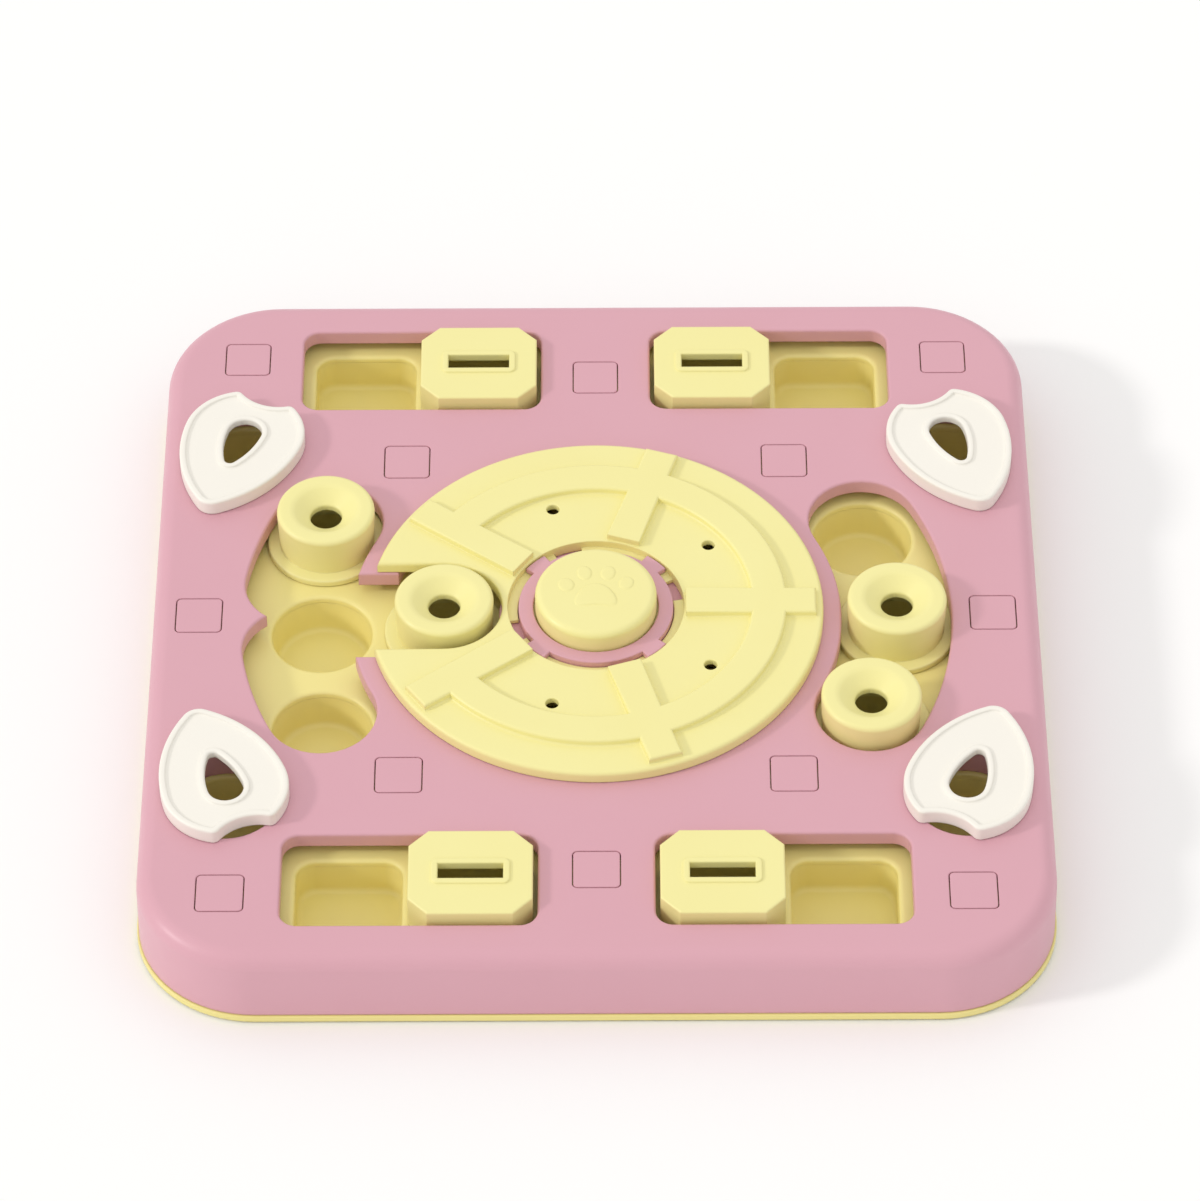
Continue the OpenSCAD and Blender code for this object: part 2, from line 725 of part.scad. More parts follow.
// Folds of the bellows in section, drawn in by t
function zigzag(fold_h, t) = [for (i = [0 : 2 * bellows_folds])
    [bellows_r * (i % 2 == 0 ? bellows_neck_share : 1) - t,
     cup_floor_z + t + (fold_h / 2 - t / bellows_folds) * i]];

// Rubber bellows under the button, hollow, with its folds as steps of a zigzag
module squeaker_bellows() color(rubber_grey) difference() {
    top = hub_top - hub_flange_t - button_flange_t - slide_gap;
    fold_h = (top - cup_floor_z) / bellows_folds;
    rotate_extrude() polygon(concat([[0, cup_floor_z]], zigzag(fold_h, 0), [[0, top]]));
    rotate_extrude() polygon(concat([[0, cup_floor_z + bellows_wall]], zigzag(fold_h, bellows_wall),
        [[0, top - bellows_wall]]));
    translate([0, 0, cup_floor_z - over]) cylinder(r = reed_r, h = bellows_wall + 2 * over);
}

// Reed insert that squeaks, pressed into the mouth of the bellows
module squeaker_reed() color(white) difference() {
    translate([0, 0, cup_floor_z]) cylinder(r = reed_r, h = reed_h);
    translate([0, 0, cup_floor_z + reed_h / 3]) cylinder(r = reed_r / 3, h = reed_h);
}

// Puck: a hollow head over a flange, with a funnel down to its scent hole
module puck() color(yellow) {
    base_r = puck_r - puck_taper;
    rotate_extrude() polygon(concat(
        [[base_r - puck_wall, flange_z], [puck_flange_r, flange_z],
         [puck_flange_r, flange_top - puck_flange_t / 4],
         [puck_flange_r - puck_flange_t / 4, flange_top], [base_r, flange_top]],
        arc([puck_r - puck_edge_r, puck_top - puck_edge_r], puck_edge_r, 0, 90, edge_steps),
        [[puck_funnel_r, puck_top],
         [puck_hole_r + puck_funnel_depth / 3, puck_top - puck_funnel_depth + puck_funnel_depth / 4],
         [puck_hole_r, puck_top - puck_funnel_depth],
         [puck_hole_r, puck_top - puck_funnel_depth - puck_wall],
         [puck_hole_r + puck_wall, puck_top - puck_funnel_depth - puck_wall],
         [puck_funnel_r + puck_wall / 3, puck_top - puck_edge_r - puck_wall / 2],
         [base_r - puck_wall, puck_top - puck_edge_r - puck_wall / 2]]));
}

module puck_top_left() translate(path_c) rotate(path_rest_deg) translate(path_a - path_c) puck();
module puck_in_disc() translate([-station_r, 0]) puck();
module puck_right() translate([lane_r, 0]) puck();
module puck_bottom_right() translate(polar(lane_r, -lane_end_deg)) puck();

// Block's plan: a rectangle with its corners cut, drawn in by g
module block_plan(g) {
    x = block_len / 2 - g;
    y = block_w / 2 - g;
    cut = block_cut - g * tan(22.5);
    polygon([[x, y - cut], [x - cut, y], [cut - x, y], [-x, y - cut],
             [-x, cut - y], [cut - x, -y], [x - cut, -y], [x, cut - y]]);
}

// Box slider in the quarter at +X and +Y: a hollow block on two side runners
module slider() color(yellow) {
    top = top_z + block_rise;
    translate([slot_x + block_end_gap + block_len / 2, slot_y]) difference() {
        union() {
            translate([0, 0, flange_z]) linear_extrude(top - flange_z) block_plan(0);
            translate([block_cut - block_len / 2, -slot_w / 2 - runner_w, flange_z])
                cube([block_len - 2 * block_cut, slot_w + 2 * runner_w, runner_t]);
            translate([0, 0, top - over]) linear_extrude(over + frame_rise)
                round_rect(scent_slot_len + 2 * frame_w, scent_slot_w + 2 * frame_w, frame_w);
        }
        translate([0, 0, flange_z - over]) linear_extrude(top - block_wall - flange_z + over)
            block_plan(block_wall);
        translate([0, 0, flange_z]) linear_extrude(board_h) square([scent_slot_len, scent_slot_w], center = true);
    }
}

module slider_back_right() slider();
module slider_back_left() mirror([1, 0, 0]) slider();
module slider_front_right() mirror([0, 1, 0]) slider();
module slider_front_left() mirror([1, 0, 0]) mirror([0, 1, 0]) slider();

// Frame of a lid in the quarter at +X and +Y, from its round end towards its tip
module at_lid() {
    translate([corner_well_x, corner_well_y]) rotate(180 + lid_axis_deg) children();
}

module at_lid_pivot() at_lid() translate([lid_reach, 0]) children();

module lid_plan(g) {
    polygon(egg(lid_r, lid_tip_r, lid_reach, lid_side_r, -g, true));
}

module lid_hole(g) {
    translate([-lid_hole_back, 0])
        polygon(egg(lid_hole_r, lid_hole_tip_r, lid_hole_reach, lid_hole_side_r, g));
}

// Swivel lid: a dished leaf with a hole, a bite and a pivot post under its tip
module lid() color(white) at_lid() {
    top = top_z + lid_rise;
    post_z = plate_z - pivot_clear;
    difference() {
        union() {
            translate([0, 0, slide_z]) linear_extrude(top - slide_z) lid_plan(0);
            translate([lid_reach, 0, post_z]) cylinder(r = pivot_post_r, h = top - lid_dish - post_z);
        }
        translate([0, 0, top - lid_dish]) linear_extrude(lid_dish + over) difference() {
            lid_plan(lid_rim_w);
            lid_hole(lid_collar_w);
        }
        translate([0, 0, slide_z - over]) linear_extrude(top) lid_hole(0);
        translate([0, 0, slide_z - over])
            linear_extrude(over + lid_rise - slide_gap - lid_dish - lid_wall) difference() {
                lid_plan(lid_wall);
                translate([lid_reach, 0]) circle(lid_tip_r);
            }
        translate([lid_reach, 0, post_z - over])
            cylinder(r = screw_r + screw_gap, h = over + pivot_clear + lid_screw_grip + turn_gap);
    }
}

module lid_back_right() lid();
module lid_back_left() mirror([1, 0, 0]) lid();
module lid_front_right() mirror([0, 1, 0]) lid();
module lid_front_left() mirror([1, 0, 0]) mirror([0, 1, 0]) lid();

// Screw with a broad head that holds a lid's pivot post from below
module lid_screw() color(steel) at_lid_pivot() {
    post_z = plate_z - pivot_clear;
    translate([0, 0, post_z - lid_screw_head_t]) cylinder(r = lid_screw_head_r, h = lid_screw_head_t);
    translate([0, 0, post_z]) cylinder(r = screw_r, h = lid_screw_grip);
}

module lid_screw_back_right() lid_screw();
module lid_screw_back_left() mirror([1, 0, 0]) lid_screw();
module lid_screw_front_right() mirror([0, 1, 0]) lid_screw();
module lid_screw_front_left() mirror([1, 0, 0]) mirror([0, 1, 0]) lid_screw();

tray();
lane_decks();
slot_decks();
corner_decks();
plug_sockets();
tray_skirt();
disc_bowl();
round_cups();
disc_cups();
box_cups();
cover();
lock_plugs();
rubber_feet();
turning_disc();
hub_ring();
hub_screws();
squeaker_button();
squeaker_bellows();
squeaker_reed();
puck_top_left();
puck_in_disc();
puck_right();
puck_bottom_right();
slider_back_left();
slider_back_right();
slider_front_left();
slider_front_right();
lid_back_left();
lid_back_right();
lid_front_left();
lid_front_right();
lid_screw_back_left();
lid_screw_back_right();
lid_screw_front_left();
lid_screw_front_right();
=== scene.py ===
import math
import bmesh
import bpy
from mathutils import Matrix, Vector


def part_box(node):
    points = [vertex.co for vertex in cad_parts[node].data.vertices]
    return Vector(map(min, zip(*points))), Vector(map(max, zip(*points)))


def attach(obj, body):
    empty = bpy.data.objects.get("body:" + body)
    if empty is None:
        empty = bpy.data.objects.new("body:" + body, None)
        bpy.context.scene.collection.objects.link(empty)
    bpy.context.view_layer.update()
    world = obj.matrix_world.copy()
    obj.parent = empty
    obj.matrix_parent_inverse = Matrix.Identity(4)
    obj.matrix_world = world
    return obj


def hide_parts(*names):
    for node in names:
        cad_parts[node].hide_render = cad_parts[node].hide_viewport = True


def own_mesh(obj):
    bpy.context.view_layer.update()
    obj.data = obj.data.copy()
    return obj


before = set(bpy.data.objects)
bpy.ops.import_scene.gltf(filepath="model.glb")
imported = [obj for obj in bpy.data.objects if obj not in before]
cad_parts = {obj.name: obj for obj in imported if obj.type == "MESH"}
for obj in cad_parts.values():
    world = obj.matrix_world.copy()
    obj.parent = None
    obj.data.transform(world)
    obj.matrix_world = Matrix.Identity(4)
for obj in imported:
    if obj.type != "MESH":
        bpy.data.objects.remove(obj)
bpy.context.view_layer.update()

# The photographer's place: a long lens in front of the board and about as high as it is far,
# looking down at forty-six degrees. The whole file has angles in degrees and lengths in metres.
camera_at = (0.0031, -1.3179, 1.4198)
camera_down = 46.437
camera_turn = 0.078
camera_roll = -0.285


def placed(name, data):
    thing = bpy.data.objects.new(name, data)
    bpy.context.scene.collection.objects.link(thing)
    return thing


view = bpy.data.cameras.new("view")
view.sensor_fit = "VERTICAL"
view.sensor_height = 36
view.lens = 180.6
view.clip_start = 0.1
view.clip_end = 20
camera = placed("view", view)
camera.matrix_world = (Matrix.Translation(camera_at)
                       @ Matrix.Rotation(math.radians(camera_turn), 4, "Z")
                       @ Matrix.Rotation(math.radians(90 - camera_down), 4, "X")
                       @ Matrix.Rotation(math.radians(camera_roll), 4, "Z"))
bpy.context.scene.camera = camera
bpy.context.scene.view_settings.view_transform = "Standard"

# The board stands on seamless white paper that runs far past the edges of the picture.
# The paper is the studio's and no part of the toy.
paper_half_width = 4
paper_white = (0.945, 0.945, 0.94, 1)
paper_roughness = 0.85
paper_shine = 0.2


def fill(node, values):
    for name, value in values.items():
        node.inputs[name].default_value = value


table = bmesh.new()
bmesh.ops.create_grid(table, x_segments=1, y_segments=1, size=paper_half_width)
table_mesh = bpy.data.meshes.new("table_top")
table.to_mesh(table_mesh)
table.free()
table_top = placed("table_top", table_mesh)
paper = bpy.data.materials.new("seamless_paper")
paper.use_nodes = True
fill(paper.node_tree.nodes["Principled BSDF"],
     {"Base Color": paper_white, "Roughness": paper_roughness, "Specular IOR Level": paper_shine})
table_mesh.materials.append(paper)

# Light of a bright studio: a white dome that is a little stronger overhead, and one soft lamp
# low on the left, which throws the short shadows to the right.
dome_white = (1, 0.995, 0.985, 1)
dome_at_horizon = 0.66
dome_overhead = 1.06
lamp_white = (1, 0.98, 0.95)
lamp_energy = 0.92
lamp_spread = 7
lamp_from = Vector((-9.1, -1.9, 5.3))
dome = bpy.data.worlds.new("studio_dome")
bpy.context.scene.world = dome
dome.use_nodes = True
dome_nodes = dome.node_tree.nodes
dome_links = dome.node_tree.links
sky = dome_nodes["Background"]
where = dome_nodes.new("ShaderNodeTexCoord")
height = dome_nodes.new("ShaderNodeSeparateXYZ")
brightness = dome_nodes.new("ShaderNodeMapRange")
fill(brightness, {"From Min": 0, "From Max": 1, "To Min": dome_at_horizon, "To Max": dome_overhead})
dome_links.new(where.outputs["Generated"], height.inputs["Vector"])
dome_links.new(height.outputs["Z"], brightness.inputs["Value"])
dome_links.new(brightness.outputs["Result"], sky.inputs["Strength"])
fill(sky, {"Color": dome_white})
lamp = bpy.data.lights.new("side_lamp", "SUN")
lamp.energy = lamp_energy
lamp.angle = math.radians(lamp_spread)
lamp.color = lamp_white
side_lamp = placed("side_lamp", lamp)
side_lamp.matrix_world = lamp_from.to_track_quat("Z", "Y").to_matrix().to_4x4()

# The tray is moulded in soft yellow plastic: a deck with holes over the treat wells, a skirt with
# a flat rim that shows as a thin line under the cover, a bowl under the disc, and the wells' cups.
# The moulder's tool leaves a faint grain, slow changes of shade and rounded corners all over.
shade_scale = 28
shade_swirl = 0.6
handling_scale = 90
least_handled = 0.3
most_handled = 0.7
grain_scale = 2600
grain_depth = 0.0001
worn_radius = 0.0005
plastic_ior = 1.46


def plastic_surface():
    """Slow changes of shade, a fine grain, and patches that handling has made smoother."""
    group = bpy.data.node_groups.new("moulded_surface", "ShaderNodeTree")
    for name, way, kind in (("Place", "INPUT", "Vector"),
                            ("Pigment", "INPUT", "Color"),
                            ("Deep Pigment", "INPUT", "Color"),
                            ("Shade Change", "INPUT", "Float"),
                            ("Roughness Low", "INPUT", "Float"),
                            ("Roughness High", "INPUT", "Float"),
                            ("Colour", "OUTPUT", "Color"),
                            ("Roughness", "OUTPUT", "Float"),
                            ("Height", "OUTPUT", "Float")):
        group.interface.new_socket(name, in_out=way, socket_type="NodeSocket" + kind)
    add = group.nodes.new
    tie = group.links.new
    given = add("NodeGroupInput").outputs
    result = add("NodeGroupOutput").inputs

    def noise(scale, detail):
        texture = add("ShaderNodeTexNoise")
        fill(texture, {"Scale": scale, "Detail": detail})
        tie(given["Place"], texture.inputs["Vector"])
        return texture

    clouds = noise(shade_scale, detail=3)
    fill(clouds, {"Distortion": shade_swirl})
    amount = add("ShaderNodeMath")
    amount.operation = "MULTIPLY"
    tie(clouds.outputs["Fac"], amount.inputs[0])
    tie(given["Shade Change"], amount.inputs[1])
    shade = add("ShaderNodeMix")
    shade.data_type = "RGBA"
    tie(amount.outputs[0], shade.inputs["Factor"])
    tie(given["Pigment"], shade.inputs[6])
    tie(given["Deep Pigment"], shade.inputs[7])
    tie(shade.outputs[2], result["Colour"])
    grain = noise(grain_scale, detail=2)
    tie(grain.outputs["Fac"], result["Height"])
    handling = noise(handling_scale, detail=4)
    gloss = add("ShaderNodeMapRange")
    fill(gloss, {"From Min": least_handled, "From Max": most_handled})
    tie(handling.outputs["Fac"], gloss.inputs["Value"])
    tie(given["Roughness Low"], gloss.inputs["To Min"])
    tie(given["Roughness High"], gloss.inputs["To Max"])
    tie(gloss.outputs["Result"], result["Roughness"])
    return group


moulded_surface = plastic_surface()


def plastic(name, pigment, deep, change, roughness, grain):
    finish = bpy.data.materials.new(name)
    finish.use_nodes = True
    nodes = finish.node_tree.nodes
    tie = finish.node_tree.links.new
    shader = nodes["Principled BSDF"]
    place = nodes.new("ShaderNodeTexCoord")
    surface = nodes.new("ShaderNodeGroup")
    surface.node_tree = moulded_surface
    fill(surface, {"Pigment": (*pigment, 1), "Deep Pigment": (*deep, 1), "Shade Change": change,
                   "Roughness Low": roughness[0], "Roughness High": roughness[1]})
    worn_edge = nodes.new("ShaderNodeBevel")
    worn_edge.samples = 6
    fill(worn_edge, {"Radius": worn_radius})
    bump = nodes.new("ShaderNodeBump")
    fill(bump, {"Strength": grain, "Distance": grain_depth})
    tie(worn_edge.outputs["Normal"], bump.inputs["Normal"])
    tie(place.outputs["Object"], surface.inputs["Place"])
    tie(surface.outputs["Colour"], shader.inputs["Base Color"])
    tie(surface.outputs["Roughness"], shader.inputs["Roughness"])
    tie(surface.outputs["Height"], bump.inputs["Height"])
    tie(bump.outputs["Normal"], shader.inputs["Normal"])
    fill(shader, {"IOR": plastic_ior})
    return finish


# The tray's yellow is deeper than the moving pieces' yellow, partly painted shade for the warm, deep
# shade in its wells.
yellow_plastic = plastic("yellow_plastic", pigment=(0.88, 0.785, 0.31), deep=(0.84, 0.72, 0.25),
                         change=0.5, roughness=(0.34, 0.44), grain=0.25)
level_slack = 2e-5
weld_gap = 4e-6
ring_weld_gap = 1e-6
wall_tilt = 0.7
corner_cosine = 0.77
sharpest_mitre = 0.35
depth_share = 0.45
most_untangling = 20
smooth_below = 40


def at_level(part, level):
    return all(abs(v.co.z - level) < level_slack for v in part.verts)


def open_flat(shape, level):
    """Takes out the flats at a level and says whether they looked up (1) or down (-1)."""
    flats = [face for face in shape.faces if at_level(face, level)]
    side = 1 if sum(face.normal.z * face.calc_area() for face in flats) > 0 else -1
    bmesh.ops.delete(shape, geom=flats, context="FACES")
    return side


def open_rim(shape, level):
    return [edge for edge in shape.edges if edge.is_boundary and at_level(edge, level)]


def close_flat(shape, level, side):
    bmesh.ops.triangle_fill(shape, edges=open_rim(shape, level), use_beauty=True, normal=(0, 0, side))


def untangle(goal, walls, corners):
    """Keeps a mitre from running over its neighbours: these end where the mitre ends."""
    led = set(corners)
    for _ in range(most_untangling):
        found = False
        for edge in walls:
            for lead, other in (edge.verts, reversed(edge.verts)):
                if lead not in led or other in led:
                    continue
                end = goal[lead][0] + goal[lead][1]
                before = goal[other][0] - goal[lead][0]
                after = goal[other][0] + goal[other][1] - end
                if after.dot(before) < 0:
                    goal[other] = (goal[other][0], end - goal[other][0], goal[other][2])
                    led.add(other)
                    found = True
        if not found:
            return


def rounded_close(shape, level, side, radius, steps=4):
    """Closes a flat that was taken out, with a rounded edge down to each wall that met it.
    Where two walls meet in a corner, the mitre between their rounded edges is marked as a seam."""
    shape.normal_update()
    walls = [edge for edge in open_rim(shape, level) if abs(edge.link_faces[0].normal.z) < wall_tilt]
    inward = {}
    bend = {}
    wall_height = {}
    for edge in walls:
        wall = edge.link_faces[0]
        across = Vector((wall.normal.x, wall.normal.y, 0)).normalized()
        bends = 1 if (wall.calc_center_median().z - level) * side < 0 else -1
        for v in edge.verts:
            inward.setdefault(v, []).append(-bends * across)
            bend[v] = bends
            wall_height[v] = max(abs(far.co.z - level) for far in wall.verts)
    corners = {v for v, ways in inward.items()
               if len(ways) == 2 and ways[0].dot(ways[1]) < corner_cosine}
    goal = {}
    for v, ways in inward.items():
        width = radius(v.co) if callable(radius) else radius
        depth = min(width, depth_share * wall_height[v])
        way = ways[0]
        if len(ways) > 1:
            way = (ways[0] + ways[1]) / max(sharpest_mitre, 1 + ways[0].dot(ways[1]))
        goal[v] = (v.co.copy(), way * width, depth * bend[v] * side)
    untangle(goal, walls, corners)
    for v, (home, way, drop) in goal.items():
        v.co.z = home.z - drop
    ring = walls
    for step in range(1, steps + 1):
        turn = math.pi / 2 * step / steps
        grown = bmesh.ops.extrude_edge_only(shape, edges=ring)["geom"]
        ring = [part for part in grown if isinstance(part, bmesh.types.BMEdge)]
        next_goal = {}
        next_corners = set()
        for v in (part for part in grown if isinstance(part, bmesh.types.BMVert)):
            riser = next(edge for edge in v.link_edges if edge.other_vert(v) in goal)
            root = riser.other_vert(v)
            home, way, drop = goal[root]
            v.co = home + way * (1 - math.cos(turn)) - Vector((0, 0, drop * (1 - math.sin(turn))))
            next_goal[v] = goal[root]
            if root in corners:
                riser.seam = True
                next_corners.add(v)
        goal = next_goal
        corners = next_corners
    last_ring = list(dict.fromkeys(v for edge in ring for v in edge.verts))
    bmesh.ops.remove_doubles(shape, verts=last_ring, dist=ring_weld_gap)
    close_flat(shape, level, side)


def finished(shape, name, body, finish, slot, *nodes):
    """Makes a piece of a shape, shaded smooth but for its true edges and its mitres."""
    bmesh.ops.recalc_face_normals(shape, faces=shape.faces)
    for edge in shape.edges:
        flat_enough = len(edge.link_faces) == 2 and edge.calc_face_angle(0) < math.radians(smooth_below)
        edge.smooth = flat_enough and not edge.seam
    for face in shape.faces:
        face.smooth = True
    mesh = bpy.data.meshes.new(name)
    shape.to_mesh(mesh)
    shape.free()
    mesh.materials.append(finish)
    piece = placed(name, mesh)
    shading = piece.modifiers.new("even_shading", "WEIGHTED_NORMAL")
    shading.keep_sharp = True
    shading.weight = 80
    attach(piece, body)
    if nodes:
        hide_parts(*nodes)
    return piece


def cad_copy(*nodes):
    shape = bmesh.new()
    for node in nodes:
        shape.from_mesh(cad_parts[node].data)
    return shape


def weld(shape):
    bmesh.ops.remove_doubles(shape, verts=shape.verts, dist=weld_gap)
    bmesh.ops.triangulate(shape, faces=[face for face in shape.faces if len(face.verts) > 3])


def moulding(node, body, finish, slot, rounds):
    """A copy of a CAD node whose flats at the given levels get rounded edges."""
    shape = cad_copy(node)
    weld(shape)
    sides = [open_flat(shape, level) for level, radius in rounds]
    for (level, radius), side in zip(rounds, sides):
        rounded_close(shape, level, side, radius)
    return finished(shape, node + "_moulding", body, finish, slot, node)


deck_top = 0.019
deck_under = 0.0168
soft_well_rim = 0.0017
hidden_edge = 0.0003
boss_reach = 0.03
socket_reach = 0.0055
plugs = [(0.115, 0.1166), (0.0614, 0.0685), (0, 0.1076), (0.1263, 0)]
bowl_seams = (0.06865, 0.06875)
seam_slack = 3e-5
square_to_axis = 0.9999
planes_per_metre = 2e4


def from_axis(place):
    return math.hypot(place.x, place.y)


def near_plug(place, reach):
    return any(max(abs(abs(place.x) - x), abs(abs(place.y) - y)) < reach for x, y in plugs)


def deck_rim(place):
    if from_axis(place) < boss_reach or near_plug(place, socket_reach):
        return hidden_edge
    return soft_well_rim


def on_bowl_seam(face):
    return any(all(abs(from_axis(v.co) - seam) < seam_slack for v in face.verts) for seam in bowl_seams)


def whole_deck(*nodes):
    """One deck out of its parts, with the walls where they meet left out."""
    shape = cad_copy(*nodes)
    facing = {}
    for face in shape.faces:
        for axis in (0, 1):
            if abs(face.normal[axis]) > square_to_axis:
                plane = (axis, round(face.verts[0].co[axis] * planes_per_metre))
                facing.setdefault(plane, {}).setdefault(face.normal[axis] > 0, []).append(face)
    meeting = [face for face in shape.faces if on_bowl_seam(face)]
    for sides in facing.values():
        if len(sides) == 2:
            meeting += sides[True] + sides[False]
    bmesh.ops.delete(shape, geom=list(dict.fromkeys(meeting)), context="FACES")
    open_flat(shape, deck_top)
    open_flat(shape, deck_under)
    weld(shape)
    rounded_close(shape, deck_top, 1, deck_rim)
    close_flat(shape, deck_under, -1)
    return shape


deck_parts = ("tray", "lane_decks", "slot_decks", "corner_decks", "disc_bowl")
finished(whole_deck(*deck_parts), "deck", "base", yellow_plastic, "yellow_plastic", *deck_parts)

socket_top = 0.0254
rim_top = 0.003
rim_edge = 0.0003
well_floor = 0.0054
well_fillet = 0.002
moulding("plug_sockets", "base", yellow_plastic, "yellow_plastic", [(socket_top, hidden_edge)])
moulding("tray_skirt", "base", yellow_plastic, "yellow_plastic", [(rim_top, rim_edge)])
for cups in ("round_cups", "disc_cups", "box_cups"):
    moulding(cups, "base", yellow_plastic, "yellow_plastic", [(well_floor, well_fillet)])

# Rubber feet, turned discs of grey rubber pressed into pockets under the corners of the tray.
# Each stands on a flat ring with a shallow dish inside it.
foot_rubber = plastic("foot_rubber", pigment=(0.07, 0.07, 0.072), deep=(0.05, 0.05, 0.05),
                      change=0.6, roughness=(0.7, 0.85), grain=0.6)
foot_r = 0.0085
foot_h = 0.002
foot_ring_w = 0.0018
foot_dish_in = 0.0025
foot_dish_depth = 0.0003
foot_edge = 0.0004
ring_slack = 1e-5


def turned(points, steps=96):
    """A closed outline of radius and height pairs, spun round the upright axis."""
    shape = bmesh.new()
    outline = [shape.verts.new((radius, 0, height)) for radius, height in points]
    edges = [shape.edges.new((a, b)) for a, b in zip(outline, outline[1:] + outline[:1])
             if a.co.x > 0 or b.co.x > 0]
    bmesh.ops.spin(shape, geom=outline + edges, axis=(0, 0, 1), cent=(0, 0, 0), angle=math.tau,
                   steps=steps, use_merge=True)
    bmesh.ops.remove_doubles(shape, verts=shape.verts, dist=ring_weld_gap)
    bmesh.ops.recalc_face_normals(shape, faces=shape.faces)
    return shape


def round_ring(shape, radius, height, width, segments):
    ring = [edge for edge in shape.edges
            if all(abs(from_axis(v.co) - radius) < ring_slack and abs(v.co.z - height) < ring_slack
                   for v in edge.verts)]
    bmesh.ops.bevel(shape, geom=ring, offset=width, segments=segments, profile=0.5, affect="EDGES",
                    material=-1)


def join_at(whole, one, x, y):
    """Puts one shape at its place and adds it to a set of them."""
    bmesh.ops.translate(one, verts=one.verts, vec=(x, y, 0))
    mesh = bpy.data.meshes.new("one_of_a_set")
    one.to_mesh(mesh)
    one.free()
    whole.from_mesh(mesh)
    bpy.data.meshes.remove(mesh)


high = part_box("rubber_feet")[1]
foot_x = high[0] - foot_r
foot_y = high[1] - foot_r
feet = bmesh.new()
for x in (-foot_x, foot_x):
    for y in (-foot_y, foot_y):
        foot = turned([(0, foot_dish_depth), (foot_r - foot_dish_in, foot_dish_depth),
                       (foot_r - foot_ring_w, 0), (foot_r, 0), (foot_r, foot_h), (0, foot_h)],
                      steps=48)
        round_ring(foot, foot_r, 0, foot_edge, segments=3)
        join_at(feet, foot, x, y)
finished(feet, "feet", "base", foot_rubber, "foot_rubber", "rubber_feet")

# The cover is a pink shell that drops over the tray: one moulding with a rounded edge all round,
# a lip under each opening, and crisp little windows for the plugs and the lids' posts.
pink_plastic = plastic("pink_plastic", pigment=(0.695, 0.379, 0.443), deep=(0.665, 0.342, 0.405),
                       change=0.5, roughness=(0.34, 0.44), grain=0.25)
cover_top = 0.028
soft_edge = 0.0009
crisp_edge = 0.0002
window_reach = 0.0085
pivot_reach = 0.006


def middle(node):
    low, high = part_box(node)
    return (Vector(low) + Vector(high)) / 2


pivot = middle("lid_screw_back_right")


def cover_edge(place):
    from_pivot = math.hypot(abs(place.x) - abs(pivot.x), abs(place.y) - abs(pivot.y))
    if near_plug(place, window_reach) or from_pivot < pivot_reach:
        return crisp_edge
    return soft_edge


moulding("cover", "base", pink_plastic, "pink_plastic", [(cover_top, cover_edge)])

# Square plugs of the same pink plastic, pushed through the windows and down into the tray's
# sockets to lock cover and tray. Their tops lie flush with the cover.
moulding("lock_plugs", "base", pink_plastic, "pink_plastic", [(cover_top, crisp_edge)])

# The hub is a pink cup screwed to the tray from below, with four tabs that hold the disc down.
# Its three steel screws have a round socket in the head and a ringed shank.
hub_top = 0.0317
hub_edge = 0.0004
tab_edge = 0.0003
hub_screw_at_r = 0.015
hub_screw_head_r = 0.0028
hub_screw_head_t = 0.002
screw_shank_r = 0.0013
screw_rings = 6
ring_root = 0.86
socket_floor_share = 0.4
socket_mouth_share = 0.45
head_edge_share = 0.35
moulding("hub_ring", "base", pink_plastic, "pink_plastic", [(hub_top, hub_edge), (cover_top, tab_edge)])
screw_steel = plastic("screw_steel", pigment=(0.55, 0.55, 0.56), deep=(0.42, 0.42, 0.43),
                      change=0.7, roughness=(0.25, 0.42), grain=0.3)
fill(screw_steel.node_tree.nodes["Principled BSDF"], {"Metallic": 1})


def screws(places, head_r, head_t, name, body, *nodes):
    """Screws with their heads down, as tall as the CAD screws that they replace."""
    low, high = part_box(nodes[0])
    under = low[2]
    seat = under + head_t
    tip = high[2]
    profile = [(0, under + head_t / 2), (head_r * socket_floor_share, under + head_t / 2),
               (head_r * socket_mouth_share, under), (head_r, under), (head_r, seat)]
    for i in range(screw_rings + 1):
        ring_r = screw_shank_r * (ring_root if i % 2 else 1)
        profile.append((ring_r, seat + (tip - seat) * i / screw_rings))
    profile.append((0, tip))
    shape = bmesh.new()
    for x, y in places:
        one = turned(profile, steps=32)
        round_ring(one, head_r, under, head_t * head_edge_share, segments=3)
        join_at(shape, one, x, y)
    finished(shape, name, body, screw_steel, "screw_steel", *nodes)


hub_screw_places = [(hub_screw_at_r * math.cos(angle), hub_screw_at_r * math.sin(angle))
                    for angle in map(math.radians, (90, 210, 330))]
screws(hub_screw_places, hub_screw_head_r, hub_screw_head_t, "hub_screw_set", "base", "hub_screws")

# The turning disc, a thin yellow moulding with raised ribs, four scent holes and a notch for a puck.
# The moving pieces get a paler yellow than the tray. The tray's deeper yellow is partly painted shade:
# it stands in for the warmer, deeper shade down in its wells.
pale_yellow = plastic("pale_yellow", pigment=(0.885, 0.825, 0.37), deep=(0.85, 0.76, 0.3),
                      change=0.5, roughness=(0.34, 0.44), grain=0.25)
rib_top = 0.0345
disc_face = 0.0322
under_ribs = 0.0344
bore_reach = 0.0294
bore_edge = 0.0002
rim_reach = 0.0715
rim_round = 0.0013
spoke_tip_reach = 0.0685
spoke_foot_edge = 0.0004
scent_hole_at = 0.0446
scent_hole_reach = 0.003
scent_hole_edge = 0.0003
disc_edge_round = 0.0009
between_spokes = 72


